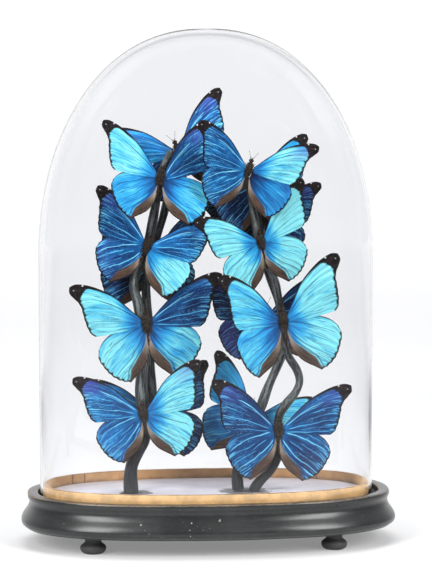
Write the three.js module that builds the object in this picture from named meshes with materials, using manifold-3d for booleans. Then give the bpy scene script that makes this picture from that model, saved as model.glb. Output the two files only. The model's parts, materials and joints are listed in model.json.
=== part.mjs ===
// Blue morpho butterflies pinned to dark branches under an oval glass dome, on an oval ebonised base.
// Millimetres, +Z up, the viewer in front at -Y. The origin is on the ground under the base's centre.
import * as THREE from "three";
import { mergeVertices } from "three/addons/utils/BufferGeometryUtils.js";
import Module from "manifold-3d";

const wasm = await Module();
wasm.setup();

// ---- Driving dimensions -------------------------------------------------------------------

const OVAL_POWER = 2.4; // the plan is a superellipse, a little squarer than an ellipse
const PLAN_SEGMENTS = 36;

const BASE_HALF_WIDTH = 189.8;
const BASE_HALF_DEPTH = 105;
const BASE_BOTTOM = 14;
const BASE_TOP = 51;
const LIP_WIDTH = 9.5; // flat top of the rim outside the groove
const LIP_SETBACK = 6.5; // the lip stands this far in from the widest moulding
const PLATEAU_TOP = 49; // wood inside the groove, under the floor and the band
const GROOVE_BOTTOM = 44.7;

const INSET_X = -2.5; // dome, band and floor sit a little left of the base's centre
const DOME_HALF_WIDTH = 168.5;
const DOME_HALF_DEPTH = 85.5;
const DOME_WALL = 5.5;
const DOME_BOTTOM = 45;
const DOME_SHOULDER = 292; // the sides are straight up to here
const DOME_TOP = 517;
const DOME_CAP_POWER = 2.23; // how full the cap is
const DOME_CAP_RINGS = 8;

const BAND_HALF_WIDTH = 161.8;
const BAND_HALF_DEPTH = 79;
const BAND_WALL = 4.5;
const BAND_TOP = 60;
const FLOOR_TOP = 50.3;
const REST_GAP = 0.3; // between pieces that touch

const FOOT_X = 120;
const FOOT_Y = 60;
const FOOT_SEGMENTS = 10;

const STEM_SIDES = 7;
const STEM_CLEARANCE = 0.3;
const STEM_WAVE = 0.07; // share of a stem's radius by which it swells and narrows
const STEM_WAVE_LENGTH = 46;

const WING_PLATE = 0.9; // forewings and hindwings
const HIND_DROP = 0.7; // the hindwing lies this far under the forewing
const BODY_SIDES = 6;
const PIN_RADIUS = 0.45;
const ANTENNA_RADIUS = 0.35;
const LEG_RADIUS = 0.4;

// ---- Materials ----------------------------------------------------------------------------

const finish = (color, roughness, metalness = 0) =>
  new THREE.MeshStandardMaterial({ color, roughness, metalness });
const EBONISED_WOOD = finish(0x2f2d2e, 0.45);
const CLEAR_GLASS = new THREE.MeshStandardMaterial({
  color: 0xf2f4f8,
  roughness: 0.03,
  transparent: true,
  opacity: 0.2,
});
const GILT_WOOD = finish(0xd9a566, 0.5);
const FLOOR_PAPER = finish(0xdcd9e2, 0.9);
const DARK_BRANCH = finish(0x2b2c31, 0.6);
const BLUE_WING = finish(0x2f8fd6, 0.35);

// ---- Shared shape helpers -----------------------------------------------------------------

const radians = THREE.MathUtils.degToRad;

// A geometry's closed surface as a solid that can be joined and cut.
function solidOf(geometry) {
  const bare = geometry.clone();
  bare.deleteAttribute("normal");
  bare.deleteAttribute("uv");
  const merged = mergeVertices(bare, 1e-4);
  const vertProperties = merged.attributes.position.array;
  const triVerts = new Uint32Array(merged.index.array);
  return new wasm.Manifold(new wasm.Mesh({ numProp: 3, vertProperties, triVerts }));
}

function geometryOf(solid) {
  const { numProp, numVert, vertProperties, triVerts } = solid.getMesh();
  const positions = new Float32Array(numVert * 3);
  for (let i = 0; i < numVert; i++) {
    positions.set(vertProperties.subarray(i * numProp, i * numProp + 3), i * 3);
  }
  const geometry = new THREE.BufferGeometry();
  geometry.setAttribute("position", new THREE.BufferAttribute(positions, 3));
  geometry.setIndex(new THREE.BufferAttribute(triVerts, 1));
  geometry.computeVertexNormals();
  return geometry;
}

// A point of the oval plan, for half sizes a and b.
function ovalPoint(a, b, angle) {
  const bend = (value) => Math.sign(value) * Math.abs(value) ** (2 / OVAL_POWER);
  return new THREE.Vector2(a * bend(Math.cos(angle)), b * bend(Math.sin(angle)));
}

// A turned profile of [half depth, z] pairs, with its circle stretched to the oval plan.
// halfWidth gives the half width that goes with a half depth.
function ovalTurning(profile, halfWidth, segments = PLAN_SEGMENTS) {
  const points = profile.map(([depth, z]) => new THREE.Vector2(depth, z));
  const geometry = new THREE.LatheGeometry(points, segments).rotateX(Math.PI / 2);
  const position = geometry.attributes.position;
  for (let i = 0; i < position.count; i++) {
    const depth = Math.hypot(position.getX(i), position.getY(i));
    if (depth < 1e-6) continue;
    const angle = Math.atan2(position.getY(i), position.getX(i));
    const plan = ovalPoint(halfWidth(depth), depth, angle);
    position.setXY(i, plan.x, plan.y);
  }
  return geometry;
}

// A flat oval plate between two heights.
function ovalPlate(a, b, bottom, top, centreX = 0) {
  const outline = [];
  for (let i = 0; i < PLAN_SEGMENTS; i++) {
    outline.push(ovalPoint(a, b, (2 * Math.PI * i) / PLAN_SEGMENTS));
  }
  const options = { depth: top - bottom, bevelEnabled: false };
  return new THREE.ExtrudeGeometry(new THREE.Shape(outline), options).translate(centreX, 0, bottom);
}

const group = new THREE.Group();

function addPiece(name, geometry, material) {
  const mesh = new THREE.Mesh(geometry, material);
  mesh.name = name;
  group.add(mesh);
  return mesh;
}

// ---- Base, feet, band and floor -----------------------------------------------------------

const LIP_INNER_WIDTH = BASE_HALF_WIDTH - LIP_SETBACK - LIP_WIDTH;
const LIP_INNER_DEPTH = BASE_HALF_DEPTH - LIP_SETBACK - LIP_WIDTH;

function makeBase() {
  // [set back from the widest line, z], from the bottom edge up to the lip
  const moulding = [
    [6, BASE_BOTTOM],
    [5, 15],
    [1, 19.5],
    [0, 24],
    [1.4, 28.5],
    [4.6, 33.5],
    [7.4, 38],
    [8.2, 41],
    [7.4, 44.5],
    [LIP_SETBACK, 46.5],
    [LIP_SETBACK, 49.8],
    [7.6, BASE_TOP],
  ];
  const stretch = BASE_HALF_WIDTH - BASE_HALF_DEPTH;
  const profile = moulding.map(([inset, z]) => [BASE_HALF_DEPTH - inset, z]);
  const closed = [[0, BASE_BOTTOM], ...profile, [0, BASE_TOP]];
  const body = solidOf(ovalTurning(closed, (depth) => depth + stretch));
  const recess = ovalPlate(LIP_INNER_WIDTH, LIP_INNER_DEPTH, PLATEAU_TOP, BASE_TOP + 1);
  const groove = ovalPlate(LIP_INNER_WIDTH, LIP_INNER_DEPTH, GROOVE_BOTTOM, PLATEAU_TOP + 1);
  const plateau = ovalPlate(BAND_HALF_WIDTH, BAND_HALF_DEPTH, 0, BASE_TOP, INSET_X);
  const cut = solidOf(groove).subtract(solidOf(plateau)).add(solidOf(recess));
  addPiece("wooden_base", geometryOf(body.subtract(cut)), EBONISED_WOOD);
}

function makeFeet() {
  const top = BASE_BOTTOM - REST_GAP;
  const bun = [
    [0, 0],
    [9.5, 0],
    [12.2, 2],
    [13, 5],
    [12, 8],
    [8.6, 10.6],
    [8, 12.4],
    [9, top],
    [0, top],
  ];
  const points = bun.map(([radius, z]) => new THREE.Vector2(radius, z));
  const corners = { front_left: [-1, -1], front_right: [1, -1], back_left: [-1, 1], back_right: [1, 1] };
  for (const [corner, [sx, sy]] of Object.entries(corners)) {
    const turned = new THREE.LatheGeometry(points, FOOT_SEGMENTS).rotateX(Math.PI / 2);
    const foot = addPiece(`foot_${corner}`, turned, EBONISED_WOOD);
    foot.position.set(sx * FOOT_X, sy * FOOT_Y, 0);
  }
}

function makeBandAndFloor() {
  const bottom = PLATEAU_TOP + REST_GAP;
  const outer = ovalPlate(BAND_HALF_WIDTH, BAND_HALF_DEPTH, bottom, BAND_TOP, INSET_X);
  const a = BAND_HALF_WIDTH - BAND_WALL;
  const b = BAND_HALF_DEPTH - BAND_WALL;
  const hole = ovalPlate(a, b, bottom - 1, BAND_TOP + 1, INSET_X);
  addPiece("gilt_band", geometryOf(solidOf(outer).subtract(solidOf(hole))), GILT_WOOD);
  const paper = ovalPlate(a - REST_GAP, b - REST_GAP, bottom, FLOOR_TOP, INSET_X);
  addPiece("floor_board", paper, FLOOR_PAPER);
}

// ---- Glass dome ---------------------------------------------------------------------------

// The outer or inner skin of the dome as a closed block.
function domeBlock(halfWidth, halfDepth, bottom, top) {
  const profile = [
    [0, bottom],
    [halfDepth, bottom],
    [halfDepth, DOME_SHOULDER],
  ];
  for (let i = 1; i < DOME_CAP_RINGS; i++) {
    const climb = Math.sin((i / DOME_CAP_RINGS) * (Math.PI / 2));
    const share = (1 - climb ** 2) ** (1 / DOME_CAP_POWER);
    profile.push([halfDepth * share, DOME_SHOULDER + climb * (top - DOME_SHOULDER)]);
  }
  profile.push([0, top]);
  return solidOf(ovalTurning(profile, (depth) => (depth * halfWidth) / halfDepth));
}

function makeDome() {
  const outer = domeBlock(DOME_HALF_WIDTH, DOME_HALF_DEPTH, DOME_BOTTOM, DOME_TOP);
  const hollow = domeBlock(
    DOME_HALF_WIDTH - DOME_WALL,
    DOME_HALF_DEPTH - DOME_WALL,
    DOME_BOTTOM - 5,
    DOME_TOP - DOME_WALL,
  );
  const dome = addPiece("glass_dome", geometryOf(outer.subtract(hollow)), CLEAR_GLASS);
  dome.position.x = INSET_X;
}

// ---- Branches -----------------------------------------------------------------------------

// Each branch: the points that it passes, from the foot up, its radius at both ends and its rings.
const BRANCHES = {
  left_branch: {
    route: [
      [-79, -7, 44],
      [-79, -7, 73],
      [-73, -7, 92],
      [-66, -7, 108],
      [-66, -7, 129],
      [-69, -7, 160],
      [-66, -7, 197],
      [-71, -7, 238],
      [-76, -7, 261],
      [-71, -7, 279],
      [-61, -7, 306],
      [-54, -7, 340],
      [-50, -7, 366],
      [-44, -6, 383],
      [-38, -2, 394],
    ],
    radii: [7.2, 3],
    rings: 22,
  },
  left_side_branch: {
    route: [
      [-66, -6, 104],
      [-62, 1, 117],
      [-57, 4.5, 138],
      [-58, 5, 165],
      [-59, 5, 197],
      [-60, 5, 222],
      [-63, 5, 262],
      [-55, 5, 297],
      [-47, 4, 323],
      [-42, 3, 345],
      [-39, 4, 366],
    ],
    radii: [4.6, 3],
    rings: 16,
  },
  right_front_branch: {
    route: [
      [43, -10, 44],
      [46, -10, 54],
      [53, -10, 63],
      [62, -10, 72],
      [68, -10, 84],
      [69, -10, 99],
      [69, -10, 116],
      [71, -10, 129],
      [78, -10, 140],
      [87, -10, 151],
      [91, -10, 162],
      [88, -10, 174],
      [80, -10, 187],
      [75, -10, 203],
      [74, -10, 225],
      [70, -10, 245],
      [66, -10, 264],
      [57, -10, 283],
      [49, -10, 305],
      [44, -10, 330],
      [38, -10, 368],
    ],
    radii: [5, 3],
    rings: 24,
  },
  right_back_branch: {
    route: [
      [31, 1, 44],
      [29.5, 1, 58],
      [29.5, 2, 71],
      [34, 3, 91],
      [44, 4, 113],
      [53, 4, 134],
      [60, 4, 153],
      [70, 4, 176],
      [76, 4, 194],
      [77, 4, 214],
      [72, 4, 238],
      [63, 4, 263],
      [56, 3, 289],
      [52, 2, 315],
      [47, 3, 345],
      [45, 4, 358],
    ],
    radii: [5.8, 3],
    rings: 20,
  },
};

function branchCurve({ route }) {
  return new THREE.CatmullRomCurve3(route.map((point) => new THREE.Vector3(...point)), false, "centripetal");
}

// A round bar bent along the branch's curve. extra makes it thicker, as clearance for what it cuts.
function branchGeometry(branch, extra = 0) {
  const curve = branchCurve(branch);
  const frames = curve.computeFrenetFrames(branch.rings, false);
  const length = curve.getLength();
  const bar = new THREE.CylinderGeometry(1, 1, 1, STEM_SIDES, branch.rings);
  const position = bar.attributes.position;
  for (let i = 0; i < position.count; i++) {
    const along = position.getY(i) + 0.5;
    const ring = Math.round(along * branch.rings);
    const swell = 1 + STEM_WAVE * Math.sin((2 * Math.PI * along * length) / STEM_WAVE_LENGTH);
    const radius = THREE.MathUtils.lerp(...branch.radii, along) * swell + extra;
    const point = curve
      .getPointAt(along)
      .addScaledVector(frames.normals[ring], -position.getX(i) * radius)
      .addScaledVector(frames.binormals[ring], position.getZ(i) * radius);
    position.setXYZ(i, point.x, point.y, point.z);
  }
  return bar;
}

// Each branch stands cut flat on the floor, and the side branch grows from the left one.
function makeBranches() {
  const under = new THREE.BoxGeometry(BASE_HALF_WIDTH, BASE_HALF_DEPTH, FLOOR_TOP);
  const ground = solidOf(under.translate(0, 0, FLOOR_TOP / 2 + REST_GAP));
  const main = solidOf(branchGeometry(BRANCHES.left_branch, STEM_CLEARANCE));
  for (const [name, branch] of Object.entries(BRANCHES)) {
    const bar = solidOf(branchGeometry(branch));
    const solid = name === "left_side_branch" ? bar.subtract(main) : bar.subtract(ground);
    addPiece(name, geometryOf(solid), DARK_BRANCH);
  }
}

// ---- Butterflies --------------------------------------------------------------------------

// Outlines of the right wings: x away from the body, y towards the head, the body's axis at x = 0.
const FOREWING = [
  [2.5, 3.5],
  [19, 18.2],
  [40, 35],
  [56, 42.5],
  [70.5, 44],
  [75, 41],
  [73, 34],
  [64, 22.8],
  [60.5, 7.5],
  [55, -4.8],
  [50, -7.3],
  [24, -5.8],
  [2.5, -3],
];
const HINDWING = [
  [2.5, 0],
  [24, -3],
  [40, -10],
  [51, -20.5],
  [50.5, -30],
  [39.8, -45.6],
  [24.3, -53.8],
  [17, -48],
  [8, -32],
  [2, -12],
];
const WING_ROOT_X = 5;

// [radius, y] of thorax, head and abdomen, from the tail up to the head
const BODY_PROFILE = [
  [0, -27],
  [2.6, -16],
  [2.2, -8],
  [4.6, -2],
  [3.6, 7],
  [2.6, 10],
  [0, 12.5],
];

// at: the thorax. lean tips the head to the viewer, turn is anticlockwise to the viewer,
// yaw turns the face to the right. Each side's wings: [forewing raised, hindwing raised, lift].
const BUTTERFLIES = {
  butterfly_left_top: {
    at: [-50, -21, 370], lean: -17, turn: -16, yaw: 9, size: 0.93,
    left: [-1, -2, 3], right: [34, 18, 5], on: "left_branch",
  },
  butterfly_left_upper: {
    at: [-63, -20, 302], lean: 0, turn: -26, yaw: -5, size: 0.9,
    left: [-6, -6, 1], right: [12, 18, 4], on: "left_branch",
  },
  butterfly_left_middle: {
    at: [-64, -20, 224], lean: 5, turn: 7, yaw: 7, size: 1.05,
    left: [3, -3, 8], right: [-4, -5, 4], on: "left_branch",
  },
  butterfly_left_bottom: {
    at: [-68, -24, 134], lean: 7, turn: 8, yaw: -2, size: 0.93,
    left: [6, 4, 3], right: [7, 3, 6], on: "left_branch",
  },
  butterfly_right_top: {
    at: [38, -24, 377], lean: 7, turn: -14, yaw: 0, size: 0.86,
    left: [0, 4, 14], right: [3, 9, 11], on: "right_front_branch",
  },
  butterfly_right_upper: {
    at: [50, -22, 305], lean: 6, turn: 16, yaw: 10, size: 0.89,
    left: [4, 0, 4], right: [11, -4, 0], on: "right_front_branch",
  },
  butterfly_right_middle: {
    at: [72, -25, 226], lean: 3, turn: 9, yaw: 3, size: 1.06,
    left: [11, 13, 26], right: [14, 7, 25], on: "right_front_branch",
  },
  butterfly_right_bottom: {
    at: [68, -26, 116], lean: 7, turn: -2, yaw: -2, size: 1,
    left: [6, 2, 4], right: [5, 2, 5], on: "right_front_branch",
  },
  butterfly_back_crown: {
    at: [-30, 8, 395], lean: -9, turn: 24, yaw: -11, size: 0.89,
    left: [10, 0, -3], right: [4, 0, -4], on: "left_branch",
  },
  butterfly_back_right_top: {
    at: [48, 12, 360], lean: -10, turn: 5, yaw: 2, size: 0.87,
    left: [20, -4, 9], right: [9, -1, 5], on: "right_back_branch",
  },
  butterfly_back_right_upper: {
    at: [56, 17, 325], lean: -2, turn: 3, yaw: 2, size: 0.82,
    left: [-12, 10, 6], right: [-2, 0, 5], on: "right_back_branch",
  },
  butterfly_back_left_upper: {
    at: [-58, 12, 284], lean: 3, turn: 2, yaw: 17, size: 0.96,
    left: [21, 14, 2], right: [7, 8, -10], on: "left_side_branch",
  },
  butterfly_back_right_middle: {
    at: [60, 17, 227], lean: 8, turn: 1, yaw: -3, size: 0.9,
    left: [4, 7, 5], right: [4, 12, 2], on: "right_back_branch",
  },
  butterfly_back_left_bottom: {
    at: [-54, 12, 128], lean: 4, turn: 1, yaw: 0, size: 0.9,
    left: [-2, 15, 3], right: [16, 9, 3], on: "left_side_branch",
  },
  butterfly_back_right_bottom: {
    at: [47, 12, 123], lean: -6, turn: -16, yaw: 11, size: 0.93,
    left: [17, 16, -2], right: [-5, 28, -7], on: "right_back_branch",
  },
};

// A wing plate: its outline swung about its root, then lifted about the body's axis.
// side is 1 for the right wings and -1 for the left ones.
function wingPlate(outline, side, rootY, raise, lift, drop) {
  const shape = new THREE.Shape(outline.map(([x, y]) => new THREE.Vector2(side * x, y)));
  const plate = new THREE.ExtrudeGeometry(shape, { depth: WING_PLATE, bevelEnabled: false });
  plate.translate(-side * WING_ROOT_X, -rootY, -WING_PLATE / 2 - drop);
  plate.rotateZ(side * radians(raise));
  plate.translate(side * WING_ROOT_X, rootY, 0);
  return plate.rotateY(-side * radians(lift));
}

// A thin rod between two points.
function rod(from, to, radius, tipRadius = radius, sides = 4) {
  const start = new THREE.Vector3(...from);
  const along = new THREE.Vector3(...to).sub(start);
  const geometry = new THREE.CylinderGeometry(tipRadius, radius, along.length(), sides);
  geometry.translate(0, along.length() / 2, 0);
  const up = new THREE.Vector3(0, 1, 0);
  geometry.applyQuaternion(new THREE.Quaternion().setFromUnitVectors(up, along.normalize()));
  return geometry.translate(start.x, start.y, start.z);
}

// A three-sided rod that runs to a point.
const spike = (from, to, radius) => rod(from, to, radius, 0, 3);

function bodyGeometry() {
  const points = BODY_PROFILE.map(([radius, y]) => new THREE.Vector2(radius, y));
  return new THREE.LatheGeometry(points, BODY_SIDES);
}

// The point of a branch's centre line that is nearest to a place.
function nearestOn(branch, place) {
  const samples = branchCurve(branch).getSpacedPoints(120);
  const distance = (point) => point.distanceTo(place);
  return samples.reduce((best, point) => (distance(point) < distance(best) ? point : best));
}

function makeButterfly(name, { at, lean, turn, yaw, size, left, right, on }) {
  const mesh = addPiece(name, new THREE.BufferGeometry(), BLUE_WING);
  mesh.position.set(...at);
  mesh.rotation.set(radians(90 + lean), radians(-turn), radians(yaw), "ZYX");
  mesh.scale.setScalar(size);
  mesh.updateMatrix();
  const toLocal = mesh.matrix.clone().invert();

  let solid = solidOf(bodyGeometry());
  for (const [side, [fore, hind, lift]] of [[-1, left], [1, right]]) {
    const forewing = wingPlate(FOREWING, side, 1, fore, lift, 0);
    const hindwing = wingPlate(HINDWING, side, -1, hind, lift, HIND_DROP);
    const antenna = spike([side, 9, 1], [side * 13, 34, 4], ANTENNA_RADIUS);
    const legs = [
      spike([side * 2, 2, -2.5], [side * 6.5, 7, -7], LEG_RADIUS),
      spike([side * 2, -2, -2.5], [side * 7, -6, -7], LEG_RADIUS),
    ];
    for (const part of [forewing, hindwing, antenna, ...legs]) solid = solid.add(solidOf(part));
  }
  const branch = BRANCHES[on];
  const grip = nearestOn(branch, mesh.position).applyMatrix4(toLocal);
  solid = solid.add(solidOf(rod([0, 0, 0], grip.toArray(), PIN_RADIUS)));
  for (const other of Object.values(BRANCHES)) {
    const bar = branchGeometry(other, STEM_CLEARANCE).applyMatrix4(toLocal);
    solid = solid.subtract(solidOf(bar));
  }
  mesh.geometry = geometryOf(solid);
}

// ---- Assembly -----------------------------------------------------------------------------

makeBase();
makeFeet();
makeBandAndFloor();
makeBranches();
for (const [name, butterfly] of Object.entries(BUTTERFLIES)) makeButterfly(name, butterfly);
makeDome();

export default group;
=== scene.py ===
"""Blue morpho butterflies pinned to dark branches under an oval glass dome, on a black base."""

import json
import math
import random

import bmesh
import bpy
from bpy.props import FloatProperty, FloatVectorProperty, IntProperty, PointerProperty
from mathutils import Euler, Matrix, Vector, noise

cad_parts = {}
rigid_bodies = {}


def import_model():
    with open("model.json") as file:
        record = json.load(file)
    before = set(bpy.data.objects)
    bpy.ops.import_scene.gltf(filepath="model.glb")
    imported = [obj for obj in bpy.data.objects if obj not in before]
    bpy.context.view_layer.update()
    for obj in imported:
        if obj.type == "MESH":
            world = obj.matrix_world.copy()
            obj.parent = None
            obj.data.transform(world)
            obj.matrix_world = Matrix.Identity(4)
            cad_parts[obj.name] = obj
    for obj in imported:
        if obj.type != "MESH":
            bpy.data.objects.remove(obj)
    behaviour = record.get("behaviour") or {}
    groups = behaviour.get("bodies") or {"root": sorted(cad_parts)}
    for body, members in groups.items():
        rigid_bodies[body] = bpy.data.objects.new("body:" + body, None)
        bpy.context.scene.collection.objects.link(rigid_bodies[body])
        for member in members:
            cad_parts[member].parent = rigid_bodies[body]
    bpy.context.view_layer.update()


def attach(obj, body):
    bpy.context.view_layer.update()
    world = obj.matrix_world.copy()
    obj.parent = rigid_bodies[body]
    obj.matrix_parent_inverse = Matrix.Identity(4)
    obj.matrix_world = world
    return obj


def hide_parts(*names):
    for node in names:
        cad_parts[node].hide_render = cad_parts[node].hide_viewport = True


bl_info = {
    "name": "Butterfly dome",
    "version": (1, 0, 0),
    "blender": (4, 5, 0),
    "location": "3D View > Sidebar > Butterfly dome",
    "description": "Builds a dome of mounted blue butterflies round its packed frame",
    "category": "Object",
}

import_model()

MM = 0.001
BODY = "root"
OVAL_POWER = 2.4  # the plan is a superellipse, a little squarer than an ellipse
INSET_X = -2.5  # dome, band and floor sit a little left of the base's centre
BASE_HALF = (189.8, 105.0)
BASE_UNDER = 17.4
BAND_HALF = (165.2, 82.3)
FLOOR_TOP = 50.3
FOOT_PLACES = {
    "foot_front_left": (-120, -60),
    "foot_front_right": (120, -60),
    "foot_back_left": (-120, 60),
    "foot_back_right": (120, 60),
}

# ---- Branches and butterflies, in millimetres ----

# the points that each branch passes, from the foot up, and its radius at both ends
BRANCHES = {
    "left_branch": (
        [
            (-79, -7, 44), (-79, -7, 73), (-73, -7, 92), (-66, -7, 108), (-66, -7, 129),
            (-69, -7, 160), (-66, -7, 197), (-71, -7, 238), (-76, -7, 261), (-71, -7, 279),
            (-61, -7, 306), (-54, -7, 340), (-50, -7, 366), (-44, -6, 383), (-38, -2, 394),
        ],
        (7.2, 3.9),
    ),
    "left_side_branch": (
        [
            (-66, -6, 104), (-62, 1, 117), (-57, 4.5, 138), (-58, 5, 165), (-59, 5, 197),
            (-60, 5, 222), (-63, 5, 262), (-55, 5, 297), (-47, 4, 323), (-42, 3, 345),
            (-39, 4, 366),
        ],
        (4.9, 4.1),
    ),
    "right_front_branch": (
        [
            (43, -10, 44), (46, -10, 54), (53, -10, 63), (62, -10, 72), (68, -10, 84),
            (69, -10, 99), (69, -10, 116), (71, -10, 129), (78, -10, 140), (87, -10, 151),
            (91, -10, 162), (88, -10, 174), (80, -10, 187), (75, -10, 203), (74, -10, 225),
            (70, -10, 245), (66, -10, 264), (57, -10, 283), (49, -10, 305), (44, -10, 330),
            (38, -10, 368),
        ],
        (5, 3),
    ),
    "right_back_branch": (
        [
            (31, 1, 44), (29.5, 1, 58), (29.5, 2, 71), (34, 3, 91), (44, 4, 113), (53, 4, 134),
            (60, 4, 153), (70, 4, 176), (76, 4, 194), (77, 4, 214), (72, 4, 238), (63, 4, 263),
            (56, 3, 289), (52, 2, 315), (47, 3, 345), (45, 4, 358),
        ],
        (5.8, 3),
    ),
}

# thorax; lean, turn and yaw; size; for the left and the right wings how far forewing and hindwing
# are raised, and lift; branch; then for left fore, left hind, right fore and right hind how bright
# the blue is painted, 0 as a wing in shade to 1 as a lit one, and how violet
BUTTERFLIES = {
    "butterfly_left_top": (
        (-50, -21, 370), (-17, -16, 9), 0.93, (-1, -2, 3), (34, 18, 5), "left_branch",
        ((0.94, 0), (0.74, 0), (0.31, 0.4), (0.78, 0)),
    ),
    "butterfly_left_upper": (
        (-63, -20, 302), (0, -26, -5), 0.9, (-6, -6, 1), (12, 18, 4), "left_branch",
        ((0.34, 0.5), (0.34, 0.2), (0.42, 0.1), (1.02, 0)),
    ),
    "butterfly_left_middle": (
        (-64, -20, 224), (5, 7, 7), 1.05, (3, -3, 8), (-4, -5, 4), "left_branch",
        ((0.94, 0), (0.95, 0), (0.27, 0.1), (0.88, 0)),
    ),
    "butterfly_left_bottom": (
        (-68, -24, 134), (7, 8, -2), 0.93, (6, 4, 3), (7, 3, 6), "left_branch",
        ((0.42, 0.7), (0.46, 0.15), (0.98, 0.6), (1.0, 0)),
    ),
    "butterfly_right_top": (
        (38, -24, 377), (7, -14, 0), 0.86, (0, 4, 14), (3, 9, 11), "right_front_branch",
        ((0.4, 0.05), (0.4, 0), (0.96, 0.75), (0.6, 0.15)),
    ),
    "butterfly_right_upper": (
        (50, -22, 305), (6, 16, 10), 0.89, (4, 0, 4), (11, -4, 0), "right_front_branch",
        ((1.0, 0), (1.04, 0), (1.15, 0), (1.04, 0)),
    ),
    "butterfly_right_middle": (
        (72, -25, 226), (3, 9, 3), 1.06, (11, 13, 26), (14, 7, 25), "right_front_branch",
        ((0.86, 0.1), (0.8, 0), (1.04, 0.15), (1.0, 0)),
    ),
    "butterfly_right_bottom": (
        (68, -26, 116), (7, -2, -2), 1.0, (6, 2, 4), (5, 2, 5), "right_front_branch",
        ((0.26, 0.45), (0.3, 0), (0.36, 0.4), (0.32, 0)),
    ),
    "butterfly_back_crown": (
        (-30, 8, 395), (-9, 24, -11), 0.89, (10, 0, -3), (4, 0, -4), "left_branch",
        ((0.52, 0.35), (0.12, 0), (0.36, 0.5), (0.2, 0.2)),
    ),
    "butterfly_back_right_top": (
        (48, 12, 360), (-10, 5, 2), 0.87, (20, -4, 9), (9, -1, 5), "right_back_branch",
        ((0.5, 0.4), (0.1, 0), (0.62, 0), (0.1, 0)),
    ),
    "butterfly_back_right_upper": (
        (56, 17, 325), (-2, 3, 2), 0.82, (-12, 10, 6), (-2, 0, 5), "right_back_branch",
        ((0.08, 0), (0.08, 0), (0.08, 0.2), (0.08, 0)),
    ),
    "butterfly_back_left_upper": (
        (-58, 12, 284), (3, 2, 17), 0.96, (21, 14, 2), (7, 8, -10), "left_side_branch",
        ((0.12, 0), (0.1, 0), (0.1, 0), (0.08, 0)),
    ),
    "butterfly_back_right_middle": (
        (60, 17, 227), (8, 1, -3), 0.9, (4, 7, 5), (4, 12, 2), "right_back_branch",
        ((0.06, 0.3), (0.1, 0.5), (0.1, 0.2), (0.2, 0.6)),
    ),
    "butterfly_back_left_bottom": (
        (-54, 12, 128), (4, 1, 0), 0.9, (-2, 15, 3), (16, 9, 3), "left_side_branch",
        ((0.5, 0), (0.1, 0), (0.16, 0), (0.14, 0)),
    ),
    "butterfly_back_right_bottom": (
        (47, 12, 123), (-6, -16, 11), 0.93, (17, 16, -2), (-5, 28, -7), "right_back_branch",
        ((0.74, 0), (0.5, 0), (0.88, 0), (0.4, 0)),
    ),
}

# The right wings, x away from the body, y towards the head: front edge, outer edge, hind edge.
FOREWING = (
    [(5, 3.5), (19, 18.2), (29.5, 28), (40, 35), (52, 41), (62, 44), (68.5, 44.6), (73.2, 42.6)],
    [
        (73.2, 42.6), (74.6, 39), (72.4, 34), (67.5, 28.6), (64, 22.8), (62.5, 15.7), (60.5, 7.5),
        (58.5, 1.4), (55, -4.8), (51, -7.3),
    ],
    [(5, -3), (24, -5.8), (39.3, -7), (51, -7.3)],
)
HINDWING = (
    [(5, 1.5), (24, 0), (37.5, -4), (46, -9.5), (50.8, -16.5)],
    [
        (50.8, -16.5), (52.2, -24.5), (49, -32.3), (45, -39.4), (39.8, -45.6), (32.5, -50.7),
        (24.3, -53.8),
    ],
    [(1.2, -12), (1.0, -21), (1.9, -28.4), (5, -36), (9.8, -42.6), (18, -49), (24.3, -53.8)],
)
WING_ROOT_X = 5
WING_THICKNESS = 0.32
VEINS = 8  # spaces between the veins of a wing
# radius and y from the tail to the head
BODY_PROFILE = [
    (0, -26), (1.1, -24.8), (1.8, -22), (2.1, -18), (2.1, -13), (2, -9), (2.7, -6.5), (3.9, -3.5),
    (4.3, 0), (4, 3.6), (3.1, 6.6), (1.9, 8), (2.3, 9.2), (2.4, 10.4), (1.7, 11.8), (0, 12.5),
]


# ---- Sizes and colours that a user may change ----


def size_setting(name, default, description):
    return FloatProperty(name=name, description=description, default=default, unit="LENGTH")


def colour_setting(name, default, description):
    return FloatVectorProperty(name=name, description=description, default=default, subtype="COLOR")


class DomeSizes(bpy.types.PropertyGroup):
    half_width: size_setting("Half width", 0.1685, "Half the dome's width outside")
    half_depth: size_setting("Half depth", 0.0855, "Half the dome's depth outside")
    wall: size_setting("Wall", 0.0028, "Thickness of the glass")
    shoulder: size_setting("Shoulder", 0.292, "Height where the straight sides end")
    top: size_setting("Top", 0.517, "Height of the dome's top above the ground")
    segments: IntProperty(name="Segments", description="Facets round the oval", default=192, min=24)


class DomeColours(bpy.types.PropertyGroup):
    wood: colour_setting("Ebonised wood", (0.027, 0.0285, 0.029), "Stain of the base and feet")
    worn: colour_setting("Worn wood", (0.21, 0.15, 0.09), "Wood where the stain has rubbed off")
    gilt: colour_setting("Gilt band", (0.96, 0.6, 0.27), "Old gilding of the inner band")
    paper: colour_setting("Floor paper", (0.66, 0.65, 0.73), "Paper on the floor inside the band")
    branch: colour_setting("Branches", (0.022, 0.024, 0.032), "Paint of the branches")


# ---- Materials ----


def maths(operation, swapped=False):
    """A method that puts its socket and the values given through a Math node."""

    def method(self, *values):
        values = (*values, self) if swapped else (self, *values)
        return self.paint.node("ShaderNodeMath", {"operation": operation}, dict(enumerate(values)))

    return method


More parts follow.
